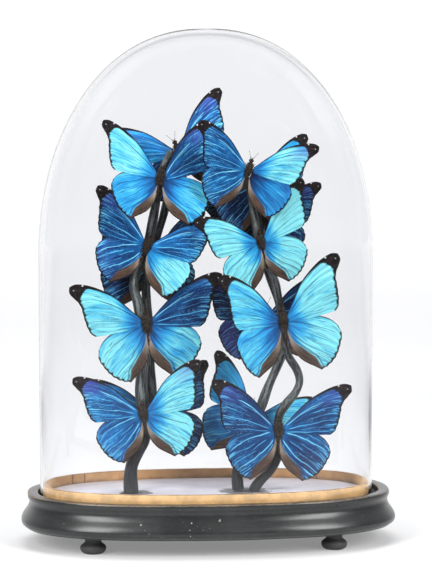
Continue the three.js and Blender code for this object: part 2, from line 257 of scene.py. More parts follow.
class Socket:
    """A node's output that does its own maths."""

    def __init__(self, paint, socket):
        self.paint = paint
        self.socket = socket

    __add__ = __radd__ = maths("ADD")
    __mul__ = __rmul__ = maths("MULTIPLY")
    __sub__ = maths("SUBTRACT")
    __rsub__ = maths("SUBTRACT", swapped=True)
    __truediv__ = maths("DIVIDE")
    __rtruediv__ = maths("DIVIDE", swapped=True)
    __pow__ = maths("POWER")
    at_most = maths("MINIMUM")
    at_least = maths("MAXIMUM")
    size = maths("ABSOLUTE")
    rounded = maths("ROUND")
    sine = maths("SINE")

    def rise(self, low, high):
        """0 below low and 1 above high, smooth between; low above high falls instead."""
        if isinstance(low, float) and isinstance(high, float) and low > high:
            return 1 - self.rise(high, low)
        return self.paint.node("ShaderNodeMapRange", {"interpolation_type": "SMOOTHSTEP"},
                               {0: self, 1: low, 2: high, 3: 0.0, 4: 1.0})


def greatest(first, *others):
    for other in others:
        first = first.at_least(other)
    return first


def shaded(colour, factor, lift=0.0):
    return tuple(channel * factor + lift for channel in colour)


class Paint:
    """A material while its nodes are put together."""

    def __init__(self, name):
        self.material = bpy.data.materials.new(name)
        self.material.use_nodes = True
        self.tree = self.material.node_tree
        self.surface = self.tree.nodes["Principled BSDF"]

    def put(self, sockets, key, value):
        if isinstance(value, Socket):
            self.tree.links.new(value.socket, sockets[key])
        elif sockets[key].type == "RGBA" and len(value) == 3:
            sockets[key].default_value = (*value, 1)
        else:
            sockets[key].default_value = value

    def node(self, kind, settings=None, inputs=None, output=0):
        made = self.tree.nodes.new(kind)
        for key, value in (settings or {}).items():
            if key == "stops":
                ramp = made.color_ramp
                while len(ramp.elements) < len(value):
                    ramp.elements.new(1.0)
                for element, (position, colour) in zip(ramp.elements, value):
                    element.position = position
                    element.color = (*colour, 1)
            else:
                setattr(made, key, value)
        for key, value in (inputs or {}).items():
            self.put(made.inputs, key, value)
        return Socket(self, made.outputs[output])

    def attribute(self, name, output="Vector"):
        return self.node("ShaderNodeAttribute", {"attribute_name": name}, output=output)

    def place(self):
        return self.node("ShaderNodeTexCoord", output="Object")

    def split(self, vector):
        parts = self.node("ShaderNodeSeparateXYZ", inputs={0: vector}).socket.node
        return [Socket(self, output) for output in parts.outputs]

    def stretch(self, vector, scale):
        return self.node("ShaderNodeVectorMath", {"operation": "MULTIPLY"}, {0: vector, 1: scale})

    def noise(self, vector, scale, detail=3.0, roughness=0.5, distortion=0.0):
        inputs = {"Vector": vector, "Scale": scale, "Detail": detail, "Roughness": roughness,
                  "Distortion": distortion}
        return self.node("ShaderNodeTexNoise", inputs=inputs)

    def field(self, x, y, z, *noise):
        """Noise over a place that is given as three values."""
        return self.noise(self.node("ShaderNodeCombineXYZ", inputs={0: x, 1: y, 2: z}), *noise)

    def distance(self, x, y, centre, squash=1.0):
        """How far x, y lies from centre; squash above 1 flattens the circles to ovals."""
        x, y = x - centre[0], y - centre[1]
        return (x * x + y * y * squash) ** 0.5

    def mix(self, factor, first, second):
        inputs = {0: factor, 6: first, 7: second}
        return self.node("ShaderNodeMix", {"data_type": "RGBA"}, inputs, output=2)

    def layers(self, base, *coats):
        """The base colour under coats, each a factor and a colour."""
        for factor, colour in coats:
            base = self.mix(factor, base, colour)
        return base

    def ramp(self, value, stops):
        return self.node("ShaderNodeValToRGB", {"stops": stops}, {0: value})

    def bump(self, height, strength, distance):
        inputs = {"Height": height, "Strength": strength, "Distance": distance}
        return self.node("ShaderNodeBump", inputs=inputs)

    def finish(self, **values):
        """Sets the shader's sockets, named in words such as base_color and roughness."""
        names = {key.lower().replace(" ", "_"): key for key in self.surface.inputs.keys()}
        for key, value in values.items():
            self.put(self.surface.inputs, names[key], value)
        return self.material


def ebonised_wood(colours):
    paint = Paint("ebonised_wood")
    place = paint.place()
    wear = paint.attribute("wear", "Fac")
    grain = paint.noise(paint.stretch(place, (14, 90, 90)), 9.0, 5.0, 0.62)
    patches = paint.noise(place, 34.0, 3.0, 0.55)
    specks = paint.noise(place, 420.0, 2.0, 0.6)
    rubbed = (wear + patches * 0.7 + specks * 0.5).rise(1.25, 1.5)
    # a knock chipped the moulding in front, left of the middle
    x, y, z = paint.split(place)
    knocked = x.rise(-0.09, -0.06) * x.rise(0.03, -0.01) * z.rise(0.042, 0.034) * y.rise(0.0, -0.05)
    chips = paint.noise(place, 300.0, 1.0, 0.4).rise(0.74, 0.765) * knocked
    dust = paint.noise(place, 520.0, 1.0, 0.5).rise(0.76, 0.8)
    base = paint.layers(
        shaded(colours.wood, 0.7),
        (patches.rise(0.35, 0.7), colours.wood),
        (grain.rise(0.5, 0.75) * 0.5, shaded(colours.wood, 1.8, 0.006)),
        (rubbed * 0.85, colours.worn),
        ((dust * 0.25).at_least(chips), (0.5, 0.46, 0.4)),
    )
    rough = 0.22 + patches * 0.2 + rubbed * 0.3 + dust * 0.3
    height = grain * 0.25 + specks * 0.15 - rubbed * 0.5 - chips
    return paint.finish(base_color=base, roughness=rough, specular_ior_level=0.25, coat_weight=0.4,
                        coat_roughness=0.22, normal=paint.bump(height, 0.25, 0.0004))


# joints in the band: where across, in metres, and half the joint's width
BAND_JOINTS = ((-0.1365, 0.0011), (-0.1235, 0.0011), (0.118, 0.001))


def gilt_wood(colours):
    paint = Paint("gilt_wood")
    place = paint.place()
    wear = paint.attribute("wear", "Fac")
    mottle = paint.noise(place, 60.0, 4.0, 0.6)
    fine = paint.noise(paint.stretch(place, (1, 1, 3)), 700.0, 2.0, 0.6)
    streak = paint.noise(paint.stretch(place, (1, 1, 0.15)), 260.0, 2.0, 0.5)
    x, y = paint.split(place)[:2]
    inside = y.rise(-0.01, 0.04)
    edge = (wear + mottle * 0.5).rise(0.9, 1.3)
    joint = sum((x - at).size().rise(half, 0.0004) for at, half in BAND_JOINTS)
    base = paint.layers(
        colours.gilt,
        (mottle.rise(0.35, 0.68), shaded(colours.gilt, 0.68)),
        (fine.rise(0.45, 0.8) * 0.35, (0.88, 0.6, 0.28)),
        (streak.rise(0.6, 0.8) * 0.3, (0.4, 0.2, 0.08)),
        (inside * 0.6, (0.44, 0.21, 0.08)),
        (edge * 0.8, (0.16, 0.075, 0.03)),
        (joint * inside * 0.7, (0.12, 0.06, 0.03)),
    )
    height = fine * 0.4 + mottle * 0.6 - joint * 0.6
    return paint.finish(base_color=base, roughness=0.42 + mottle * 0.25, metallic=0.12,
                        normal=paint.bump(height, 0.3, 0.0005))


FLOOR_HALF_SQUARED = (0.0246, 0.0055)  # the floor's half sizes in metres, squared
# splashes of glue on the paper: centre and reach in metres
GLUE_SPLASHES = (((-0.074, -0.008), 0.021), ((0.037, -0.006), 0.027))


def floor_paper(colours):
    paint = Paint("floor_paper")
    place = paint.place()
    fibre = paint.noise(paint.stretch(place, (1, 3, 1)), 500.0, 4.0, 0.7)
    stain = paint.noise(place, 18.0, 4.0, 0.6)
    drops = paint.noise(place, 75.0, 3.0, 0.65)
    x, y = paint.split(place)[:2]
    # painted shade: the paper darkens towards its rim, where the band shades it
    rim = (x * x / FLOOR_HALF_SQUARED[0] + y * y / FLOOR_HALF_SQUARED[1]).rise(0.8, 1.0)
    base = paint.layers(
        colours.paper,
        (stain.rise(0.36, 0.7) * 0.6, (0.45, 0.42, 0.45)),
        (fibre.rise(0.5, 0.8) * 0.3, (0.8, 0.79, 0.84)),
        (rim * 0.45, (0.42, 0.38, 0.38)),
    )
    for centre, reach in GLUE_SPLASHES:
        far = paint.distance(x, y, centre, 1.6)
        spill = (far / reach + (drops - 0.5) * 1.5).rise(1.0, 0.85)
        base = paint.mix(spill * 0.85, base, (0.05, 0.052, 0.06))
    return paint.finish(base_color=base, roughness=0.36 + stain * 0.2, specular_ior_level=0.3,
                        normal=paint.bump(fibre, 0.1, 0.0002))


def branch_paint(colours):
    paint = Paint("branch_paint")
    place = paint.place()
    turn, length, seed = paint.split(paint.attribute("along"))
    ribs = paint.field(turn * 2.2, length * 9.0, seed, 2.0, 3.0, 0.55)
    fine = paint.field(turn * 7.0, length * 40.0, seed, 2.0, 4.0, 0.6)
    patches = paint.noise(place, 45.0, 3.0, 0.5)
    z = paint.split(place)[2]
    # grey-green streaks along the ribs, partly worn paint and partly a painted sheen, weaker
    # towards the foot
    rubbed = (ribs * 0.75 + fine * 0.35).rise(0.5, 0.7) * (0.1 + z.rise(0.09, 0.17) * 0.75)
    # painted highlight: a pale stripe along the front and back of each branch, a little to the
    # left, higher up only
    side_highlight = (turn + 0.15 + (fine - 0.5) * 0.8).size().rise(0.36, 0.1) * patches.rise(0.42, 0.58)
    base = paint.layers(
        shaded(colours.branch, 0.3),
        (ribs.rise(0.3, 0.72), shaded(colours.branch, 0.6)),
        (rubbed, (0.24, 0.275, 0.265)),
        (side_highlight * z.rise(0.11, 0.17) * 0.55, (0.3, 0.34, 0.33)),
        (patches.rise(0.6, 0.75) * 0.3, (0.06, 0.045, 0.04)),
    )
    height = ribs * 0.7 + fine * 0.35
    return paint.finish(base_color=base, roughness=0.3 + fine * 0.2, specular_ior_level=0.22,
                        coat_weight=0.1, coat_roughness=0.2,
                        normal=paint.bump(height, 0.35, 0.0006))


def clear_glass():
    paint = Paint("clear_glass")
    return paint.finish(base_color=(0.975, 0.98, 0.99), roughness=0.0, ior=1.45,
                        transmission_weight=1.0)


# from the darkest blue to the brightest
BLUES = [
    (0.0, (0.006, 0.015, 0.068)),
    (0.15, (0.008, 0.038, 0.145)),
    (0.32, (0.01, 0.085, 0.27)),
    (0.5, (0.016, 0.2, 0.56)),
    (0.72, (0.035, 0.43, 0.86)),
    (0.88, (0.13, 0.69, 0.95)),
    (1.0, (0.3, 0.92, 1.0)),
]
# where each vein runs across the wing, 0 at the front edge to 8 behind; where it starts and ends,
# from the root at 0 to the margin at 1; its width and its strength
VEIN_LINES = {
    "fore": [
        (1.15, 0.52, 0.9, 0.05, 0.45), (2.3, 0.03, 0.74, 0.085, 1.0), (2.72, 0.28, 0.7, 0.05, 0.6),
        (3.55, 0.5, 1.0, 0.06, 0.5), (4.45, 0.44, 1.0, 0.05, 0.42), (5.5, 0.06, 1.0, 0.06, 0.6),
        (6.45, 0.3, 1.0, 0.05, 0.4), (7.3, 0.08, 0.95, 0.06, 0.5),
    ],
    "hind": [
        (0.9, 0.4, 1.0, 0.05, 0.45), (1.9, 0.05, 0.95, 0.07, 0.75), (2.95, 0.42, 1.0, 0.06, 0.5),
        (3.7, 0.2, 0.62, 0.05, 0.5), (4.3, 0.48, 1.0, 0.06, 0.5), (5.25, 0.06, 1.0, 0.07, 0.8),
        (6.1, 0.12, 1.0, 0.06, 0.6),
    ],
}
# places on a wing are in tenths of a metre: pale spots at the tip of a forewing, each with its
# reach and brightness, and the ringed eyespots under the wings, each with its reach
TIP_SPOTS = ((0.612, 0.428, 0.0085, 1.0), (0.7, 0.39, 0.006, 0.55))
EYESPOTS = ((0.52, 0.15, 0.055), (0.58, 0.02, 0.045), (0.36, -0.17, 0.05), (0.4, -0.31, 0.055),
            (0.29, -0.40, 0.06))


def vein_marks(lane, out, kind):
    marks = []
    for at, start, end, width, strength in VEIN_LINES[kind]:
        mark = ((lane - at).size() * out.at_least(0.2)).rise(width, width * 0.25)
        fade = out.rise(end, end - 0.12) if end < 1 else 1.0
        marks.append(mark * out.rise(start, start + 0.08) * fade * strength)
    return greatest(*marks)


def black_margin(kind, space, out, streaks):
    """How black a wing is, along its edges and at the forewing's tip."""
    wave = (space * (2 * math.pi) + 1.57).sine()
    ragged = (streaks - 0.5) * 0.07
    if kind == "fore":
        apex = out.rise(0.74, 1.0) * 2.1 + out.rise(0.4, 0.78) * 0.3 + 0.1 / out.at_least(0.25)
        tip = (space - apex + ragged * 6).rise(0.12, -0.12)
        inner = 0.972 + wave * 0.006 + ragged - space.rise(3.2, 0.6) * 0.06
        return tip.at_least(out.rise(inner - 0.022, inner + 0.008))
    inner = 0.974 + wave * 0.008 + ragged
    front = (space * out.at_least(0.4)).rise(0.2, 0.08) * out.rise(0.4, 0.7) * 0.9
    return out.rise(inner - 0.02, inner + 0.006).at_least(front)


def hairy_fold(paint, colour, space, out, seed, streaks):
    """The hindwing's fold along the body: cream near the root, rust brown behind."""
    reach = 6.75 - out.rise(0.1, 0.5) * out.rise(1.0, 0.55) * 0.5 + out.rise(0.7, 1.0) * 0.8
    inward = space + (streaks - 0.5) * 0.5 - reach
    fold = inward.rise(-0.14, 0.16)
    hairs = paint.field(space * 5.0, out * 2.2, seed, 2.0, 3.0, 0.6).rise(0.3, 0.7)
    cream = paint.mix(hairs, (0.17, 0.12, 0.08), (0.62, 0.53, 0.42))
    rust = paint.mix(hairs, (0.025, 0.015, 0.012), (0.13, 0.076, 0.052))
    down = paint.mix((out + (hairs - 0.5) * 0.25).rise(0.16, 0.48), cream, rust)
    crest = (inward + 0.3).size().rise(0.2, 0.05) * out.rise(0.1, 0.3)
    colour = paint.layers(
        colour,
        (crest * 0.7, (0.012, 0.05, 0.2)),
        (fold, down),
        (space.rise(7.6, 7.95) * 0.85, (0.016, 0.01, 0.009)),
    )
    return colour, fold


def morpho_scales(kind):
    """The upper side of a wing: blue scales painted as lit or in shade, veins, black margin, and
    hair or spots.
    """
    fore = kind == "fore"
    paint = Paint(kind + "wing_scales")
    # space counts from the front edge to the hind one, 0 to VEINS, and out from root to margin
    space, out, seed = paint.split(paint.attribute("veins"))
    px, py = paint.split(paint.attribute("plane"))[:2]
    # tone, kept in the layer named finish, is painted light and shade: 0 paints the wing as in
    # shade, navy, 1 as lit, cyan
    tone, violet = paint.split(paint.attribute("finish", "Color"))[:2]
    drift = paint.field(space * 0.35, out * 1.6, seed + 2.0, 1.7, 2.0, 0.5)
    lane = space + (drift - 0.5) * 0.9
    # fine streaks of scales run with the veins, and broader ones from space to space
    streaks = paint.field(lane * 2.8, out * 1.5, seed, 1.9, 4.0, 0.64, 0.4)
    broad = paint.field(lane * 0.55, out * 1.3, seed + 4.0, 1.5, 2.0, 0.5, 0.6)
    grains = paint.field(px, py, seed, 75.0, 3.0, 0.6)
    folds = paint.field(lane * 0.8, out * 4.2, seed + 9.0, 1.3, 2.0, 0.55, 1.3)
    # dark is how far the wing is painted as in shade, light how far it is painted as lit
    dark = tone.rise(0.62, 0.4)
    light = 1 - dark
    line = vein_marks(lane, out, kind)
    vein = line * (0.3 + streaks * 1.3).at_most(1.0)
    level = (tone - dark * 0.05 + (broad - 0.5) * (0.62 + dark * 0.1)
             + (streaks - 0.5) * (0.6 - dark * 0.42) + (grains - 0.5) * (0.14 - dark * 0.1))
    # a wing painted as lit is a deeper blue at its root; one painted in shade gets a painted
    # highlight there, and painted glints in dashes near the margin
    level = level - out.rise(0.48 if fore else 0.62, 0.04) * light * 0.5
    level = level + out.rise(0.25, 0.05) * dark * 0.16
    margin_glints = streaks.rise(0.52, 0.62) * out.rise(0.7, 0.92) * dark
    # painted glints along the creases of a wing painted in shade
    crease_glints = ((folds - 0.5).size().rise(0.022, 0.004) * dark * out.rise(0.3, 0.5)
              * streaks.rise(0.42, 0.55))
    # the glints and the veins of a wing painted in shade are painted lighter, as highlights
    level = level + margin_glints * 0.5 + crease_glints * 0.3 + vein * dark * 0.85
    scratch = streaks.rise(0.47, 0.36) * light * out.rise(0.1, 0.35)
    # painted highlights: these glints and veins turn pale cyan
    pale = greatest(crease_glints * 0.25, margin_glints * 0.35, vein * dark * line * 0.9)
    tint = violet * out.rise(0.5, 0.85) * (space.rise(4.5, 1.0) if fore else 0.7)
    blue = paint.layers(
        paint.ramp(level, BLUES),
        (vein.at_least(scratch * 0.5) * light, (0.008, 0.06, 0.2)),
        (pale, (0.3, 0.74, 0.92)),
        ((tint * (0.35 + broad * 1.1)).at_most(0.85), (0.1, 0.07, 0.5)),
    )
    black = black_margin(kind, space, out, streaks)
    brown = paint.field(px, py, seed + 1.0, 40.0, 3.0, 0.6)
    edge = paint.mix(brown.rise(0.42, 0.7), (0.003, 0.002, 0.004), (0.032, 0.019, 0.016))
    colour = paint.mix(black, blue, edge)
    if fore:
        spots = [paint.distance(px, py, (x, y)).rise(reach * 1.35, reach * 0.6) * bright
                 for x, y, reach, bright in TIP_SPOTS]
        colour = paint.mix(greatest(*spots), colour, (0.8, 0.78, 0.76))
    else:
        colour, fold = hairy_fold(paint, colour, space, out, seed, streaks)
        black = black.at_least(fold)
    height = streaks * 0.7 + grains * 0.2 - vein * 0.5
    return paint.finish(base_color=colour, metallic=0.4 - black * 0.4, specular_ior_level=0.16,
                        roughness=0.34 + grains * 0.12 + black * 0.25,
                        normal=paint.bump(height, 0.5, 0.0005))


def brown_underside():
    """The underside of a wing: brown with paler bands and ringed eyespots."""
    paint = Paint("brown_underside")
    space, out, seed = paint.split(paint.attribute("veins"))
    px, py = paint.split(paint.attribute("plane"))[:2]
    streaks = paint.field(space * 3.0, out * 8.0, seed, 2.0, 4.0, 0.6)
    grains = paint.field(px, py, seed, 90.0, 2.0, 0.6)
    base = paint.mix(streaks, (0.045, 0.028, 0.018), (0.15, 0.095, 0.06))
    for place, reach in ((0.3, 0.02), (0.52, 0.025), (0.87, 0.018), (0.95, 0.012)):
        band = (out + (streaks - 0.5) * 0.08 - place).size().rise(reach, reach * 0.3)
        base = paint.mix(band * 0.7, base, (0.38, 0.29, 0.19))
    for x, y, reach in EYESPOTS:
        far = paint.distance(px, py, (x, y)) / reach
        base = paint.layers(
            base,
            (far.rise(1.25, 1.1), (0.03, 0.018, 0.012)),
            (far.rise(1.02, 0.92), (0.55, 0.34, 0.1)),
            (far.rise(0.78, 0.68), (0.012, 0.008, 0.007)),
            (far.rise(0.3, 0.2), (0.75, 0.75, 0.72)),
        )
    thread = (space - space.rounded()).size().rise(0.07, 0.03) * out.rise(0.3, 0.5)
    base = paint.mix(thread * 0.6, base, (0.03, 0.02, 0.014))
    height = streaks * 0.5 + grains * 0.4 + thread
    return paint.finish(base_color=base, roughness=0.72, specular_ior_level=0.2,
                        normal=paint.bump(height, 0.3, 0.0004))


def dark_fur():
    paint = Paint("dark_fur")
    place = paint.place()
    pale = paint.attribute("pale", "Fac")
    tuft = paint.noise(place, 900.0, 3.0, 0.6)
    patch = paint.noise(place, 260.0, 2.0, 0.5)
    # painted highlights: pale specks stand for glints on the hair
    glint_specks = paint.noise(place, 1500.0, 1.0, 0.5).rise(0.62, 0.72)
    light = paint.mix(patch, (0.17, 0.115, 0.075), (0.62, 0.52, 0.4))
    base = paint.layers(
        (0.004, 0.003, 0.003),
        (tuft.rise(0.35, 0.75), (0.05, 0.034, 0.026)),
        (glint_specks * 0.5, (0.2, 0.15, 0.12)),
        (pale, light),
    )
    return paint.finish(base_color=base, roughness=0.65, specular_ior_level=0.12,
                        normal=paint.bump(tuft, 0.5, 0.0004))


def chitin():
    paint = Paint("chitin")
    spots = paint.noise(paint.place(), 600.0, 2.0, 0.5)
    base = paint.mix(spots, (0.008, 0.006, 0.006), (0.03, 0.02, 0.016))
    return paint.finish(base_color=base, roughness=0.28 + spots * 0.2)


def pin_steel():
    paint = Paint("pin_steel")
    rub = paint.noise(paint.place(), 500.0, 2.0, 0.5)
    base = paint.mix(rub, (0.1, 0.1, 0.11), (0.3, 0.3, 0.32))
    return paint.finish(base_color=base, metallic=0.9, roughness=0.3 + rub * 0.2)


def dark_glue():
    paint = Paint("dark_glue")
    lumps = paint.noise(paint.place(), 260.0, 3.0, 0.55)
    base = paint.mix(lumps, (0.01, 0.011, 0.014), (0.035, 0.038, 0.045))
    return paint.finish(base_color=base, roughness=0.2 + lumps * 0.25, specular_ior_level=0.3,
                        normal=paint.bump(lumps, 0.4, 0.0006))


SWEEP_DEPTH = 6  # metres to the paper's rise behind the object
# how brightly the paper glows, by its share of the way back
GLOW = [(0.0, 0.24), (0.1, 0.27), (0.25, 0.46), (0.5, 0.68), (0.83, 0.78), (1.0, 0.8)]


def studio_white():
    """White paper that glows towards the back, dim in front and beside so that glass is clear."""
    paint = Paint("studio_white")
    place = paint.place()
    x, y = paint.split(place)[:2]
    soft = paint.noise(place, 0.6, 1.0, 0.5)
    dim = (x.size().rise(0.32, 0.8) * y.rise(1.4, 0.5)).at_least(y.rise(-0.22, -0.7))
    base = paint.layers((0.49, 0.49, 0.495), (soft, (0.51, 0.51, 0.51)), (dim, (0.16, 0.16, 0.165)))
    lit = paint.ramp(y / SWEEP_DEPTH, [(at, (glow, glow, glow * 1.01)) for at, glow in GLOW])
    lit = paint.mix(dim, lit, (0.0, 0.0, 0.0))
    return paint.finish(base_color=base, roughness=0.9, specular_ior_level=0.05,
                        emission_color=lit, emission_strength=1.0)


# ---- Shapes ----


def oval(half_width, half_depth, angle):
    def bend(value):
        return math.copysign(abs(value) ** (2 / OVAL_POWER), value)

    return half_width * bend(math.cos(angle)), half_depth * bend(math.sin(angle))


def edges_in(items):
    return [item for item in items if isinstance(item, bmesh.types.BMEdge)]


def extruded(mesh, edges):
    """Extrudes edges, and gives the new vertices and the new edges."""
    made = bmesh.ops.extrude_edge_only(mesh, edges=edges)["geom"]
    return [item for item in made if isinstance(item, bmesh.types.BMVert)], edges_in(made)


def face_outwards(mesh):
    bmesh.ops.recalc_face_normals(mesh, faces=mesh.faces)


def cut_level(mesh, height):
    """Takes off what is below height, and closes the cut."""
    everything = mesh.verts[:] + mesh.edges[:] + mesh.faces[:]
    cut = bmesh.ops.bisect_plane(mesh, geom=everything, plane_co=(0, 0, height),
                                 plane_no=(0, 0, 1), clear_inner=True)
    bmesh.ops.contextual_create(mesh, geom=edges_in(cut["geom_cut"]))


def polyline(mesh, points):
    line = [mesh.verts.new(point) for point in points]
    return line, [mesh.edges.new(pair) for pair in zip(line, line[1:])]


def turned_profile(mesh, profile, axis, steps):
    bmesh.ops.spin(mesh, geom=profile, cent=(0, 0, 0), axis=axis, angle=2 * math.pi, steps=steps,
                   use_merge=True)
    bmesh.ops.remove_doubles(mesh, verts=mesh.verts, dist=1e-4)


def oval_stack(rings, segments):
    """An oval outline extruded through rings of (half width, half depth, centre x, z, wear)."""
    mesh = bmesh.new()
    angle_of = mesh.verts.layers.float.new("angle")
    wear_of = mesh.verts.layers.float.new("wear")
    bmesh.ops.create_circle(mesh, segments=segments, radius=1)
    for vert in mesh.verts:
        vert[angle_of] = math.atan2(vert.co.y, vert.co.x)
    verts, edges = list(mesh.verts), list(mesh.edges)
    for number, (half_width, half_depth, centre, z, wear) in enumerate(rings):
        if number:
            verts, edges = extruded(mesh, edges)
        for vert in verts:
            x, y = oval(half_width, half_depth, vert[angle_of])
            vert.co = (x + centre, y, z)
            vert[wear_of] = wear
    bmesh.ops.remove_doubles(mesh, verts=mesh.verts, dist=1e-4)
    face_outwards(mesh)
    return mesh


def inset_rings(half, section, centre=0.0):
    """Rings for oval_stack from a section of (set back from half, z, wear)."""
    return [(half[0] - inset, half[1] - inset, centre, z, wear) for inset, z, wear in section]


def smooth_points(points, spans=6):
    """Points along a smooth curve through the given ones."""
    points = [Vector(point) for point in points]
    padded = [2 * points[0] - points[1], *points, 2 * points[-1] - points[-2]]
    made = []
    for a, b, c, d in zip(padded, padded[1:], padded[2:], padded[3:]):
        for step in range(spans):
            t = step / spans
            made.append(0.5 * (2 * b + (c - a) * t + (2 * a - 5 * b + 4 * c - d) * t * t
                               + (3 * b - a - 3 * c + d) * t ** 3))
    return made + [points[-1]]


def evenly(points, count):
    """count + 1 points at even distances along a line of points."""
    reach = [0.0]
    for a, b in zip(points, points[1:]):
        reach.append(reach[-1] + (b - a).length)
    made, index = [], 0
    for step in range(count + 1):
        goal = reach[-1] * step / count
        while index < len(points) - 2 and reach[index + 1] < goal:
            index += 1
        share = (goal - reach[index]) / (reach[index + 1] - reach[index])
        made.append(points[index].lerp(points[index + 1], min(1.0, share)))
    return made


def around(turn, size, last):
    return noise.noise(Vector((math.cos(turn) * size, math.sin(turn) * size, last)))


def tube(mesh, points, radii, sides, shape=None):
    """A closed tube along points; shape(radius, turn, ring) gives the reach of each corner."""

    def corner(vert):
        return tuple(round(c, 6) for c in vert.co)

    ring = bmesh.ops.create_circle(mesh, cap_ends=True, segments=sides, radius=1)["verts"]
    turns = {vert: math.atan2(vert.co.y, vert.co.x) for vert in ring}
    heading = (points[1] - points[0]).normalized()
    across = heading.orthogonal().normalized()
    edges = list({edge for vert in ring for edge in vert.link_edges})
    for number, (point, radius) in enumerate(zip(points, radii)):
        if number:
            ahead = points[min(number + 1, len(points) - 1)] - points[number - 1]
            across = heading.rotation_difference(ahead.normalized()) @ across
            heading = ahead.normalized()
            old = {corner(vert): turns[vert] for vert in ring}
            ring, edges = extruded(mesh, edges)
            turns = {vert: old[corner(vert)] for vert in ring}
        side = heading.cross(across)
        for vert in ring:
            turn = turns[vert]
            reach = shape(radius, turn, number) if shape else radius
            vert.co = point + reach * (math.cos(turn) * across + math.sin(turn) * side)
    bmesh.ops.contextual_create(mesh, geom=edges)


def finish_piece(name, mesh, materials, slot, nodes=(), sharp=40):
    """Turns a bmesh in millimetres into an object that rides on the body."""
    limit = math.radians(sharp)
    for face in mesh.faces:
        face.smooth = True
    for edge in mesh.edges:
        edge.smooth = len(edge.link_faces) != 2 or edge.calc_face_angle(0) < limit
    bmesh.ops.transform(mesh, matrix=Matrix.Scale(MM, 4), verts=mesh.verts)
    data = bpy.data.meshes.new(name)
    mesh.to_mesh(data)
    mesh.free()
    for material in materials:
        data.materials.append(material)
    piece = bpy.data.objects.new(name, data)
    bpy.context.scene.collection.objects.link(piece)
    if slot:
        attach(piece, BODY)
        if nodes:
            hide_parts(*nodes)
    return piece


# ---- Base, feet, band and floor ----


def moulded_base(colours, segments):
    # set back from the widest line, z, wear: the outside up to the lip, and the dome's groove
    moulding = [
        (30, BASE_UNDER, 0), (6.3, BASE_UNDER, 0.2), (5.4, 17.6, 0.5), (4.9, 18, 0.6),
        (4.7, 18.5, 0.3), (4.3, 18.9, 0.2), (3.3, 19.3, 0.25), (2.1, 20, 0.15), (1.1, 20.9, 0.1),
        (0.4, 22.2, 0.15), (0, 24, 0.25), (0.15, 25.6, 0.2), (0.8, 27.8, 0.1), (2.0, 30, 0.05),
        (3.6, 32.4, 0), (5.2, 34.7, 0), (6.7, 37, 0), (7.7, 39.6, 0), (8.2, 42, 0), (8.1, 44.2, 0),
        (7.5, 45.8, 0.05), (6.8, 46.9, 0.3), (6.5, 47.7, 0.55), (6.5, 50.5, 0.45),
        (6.65, 51.3, 0.75), (7.1, 51.9, 0.9), (7.8, 52.2, 0.7), (11, 52.25, 0.2),
        (15.4, 52.2, 0.45), (16.4, 52, 0.95), (17, 51.4, 0.9), (17, 45.4, 0), (17.5, 44.8, 0),
    ]
    # the raised middle that carries band and floor, set back from the band's outside
    middle = [(-0.4, 44.7, 0), (0, 45.2, 0), (0, 48.6, 0.3), (0.4, 49, 0.3)]
    rings = [(0, 0, 0, BASE_UNDER, 0), *inset_rings(BASE_HALF, moulding),
             *inset_rings(BAND_HALF, middle, INSET_X), (0, 0, INSET_X, 49, 0)]
    mesh = oval_stack(rings, segments)
    # wood moves with age: the oval is a little uneven
    for vert in mesh.verts:
        if 15 < vert.co.z < 44:
            vert.co.z += noise.noise(vert.co / 60) * 0.25
    finish_piece("moulded_base", mesh, [ebonised_wood(colours)], "ebonised_wood", ["wooden_base"])


def bun_feet(segments=48):
    profile = [
        (0, 0), (8.6, 0), (9.4, 0.25), (10.6, 0.9), (11.8, 2), (12.6, 3.5), (13, 5.2), (12.8, 6.6),
        (12.1, 7.8), (10.9, 8.9), (9.5, 9.8), (8.7, 10.6), (8.2, 11.4), (8.1, 12.6), (8.5, 15.4),
        (9, 17.1), (0, 17.1),
    ]
    worn_below = 6
    wood = bpy.data.materials["ebonised_wood"]
    for name, (x, y) in FOOT_PLACES.items():
        mesh = bmesh.new()
        wear_of = mesh.verts.layers.float.new("wear")
        line, edges = polyline(mesh, [(radius, 0, z) for radius, z in profile])
        turned_profile(mesh, line + edges, (0, 0, 1), segments)
        face_outwards(mesh)
        for vert in mesh.verts:
            vert[wear_of] = 0.5 if vert.co.z < worn_below else 0.1
        bmesh.ops.translate(mesh, vec=(x, y, 0), verts=mesh.verts)
        finish_piece(name.replace("foot", "bun_foot"), mesh, [wood], "ebonised_wood", [name])


def band_and_floor(colours, segments):
    # set back from the band's outside, z, wear
    section = [
        (0.3, 49.3, 0.9), (0, 49.8, 0.6), (0, 59.1, 0.2), (0.15, 59.7, 0.8), (0.7, 60, 1.0),
        (3.7, 60, 0.85), (4.3, 59.75, 1.0), (4.5, 59.2, 0.4), (4.5, 50, 0.9), (4.3, 49.3, 0.9),
        (0.3, 49.3, 0.9),
    ]
    mesh = oval_stack(inset_rings(BAND_HALF, section, INSET_X), segments)
    # the top edge is a little uneven
    for vert in mesh.verts:
        if vert.co.z > 59:
            vert.co.z -= abs(noise.noise(vert.co / 9)) * 0.35
    finish_piece("gilded_band", mesh, [gilt_wood(colours)], "gilt_wood", ["gilt_band"])
    band_and_gap = 4.8
    width, depth = (half - band_and_gap for half in BAND_HALF)
    sheet = [(0, 0, 49.3), (width, depth, 49.3), (width, depth, 50.15),
             (width - 0.2, depth - 0.2, FLOOR_TOP), (width * 0.6, depth * 0.6, FLOOR_TOP),
             (0, 0, FLOOR_TOP)]
    mesh = oval_stack([(across, along, INSET_X, z, 0) for across, along, z in sheet], segments)
    finish_piece("papered_floor", mesh, [floor_paper(colours)], "floor_paper", ["floor_board"])


# ---- Dome ----


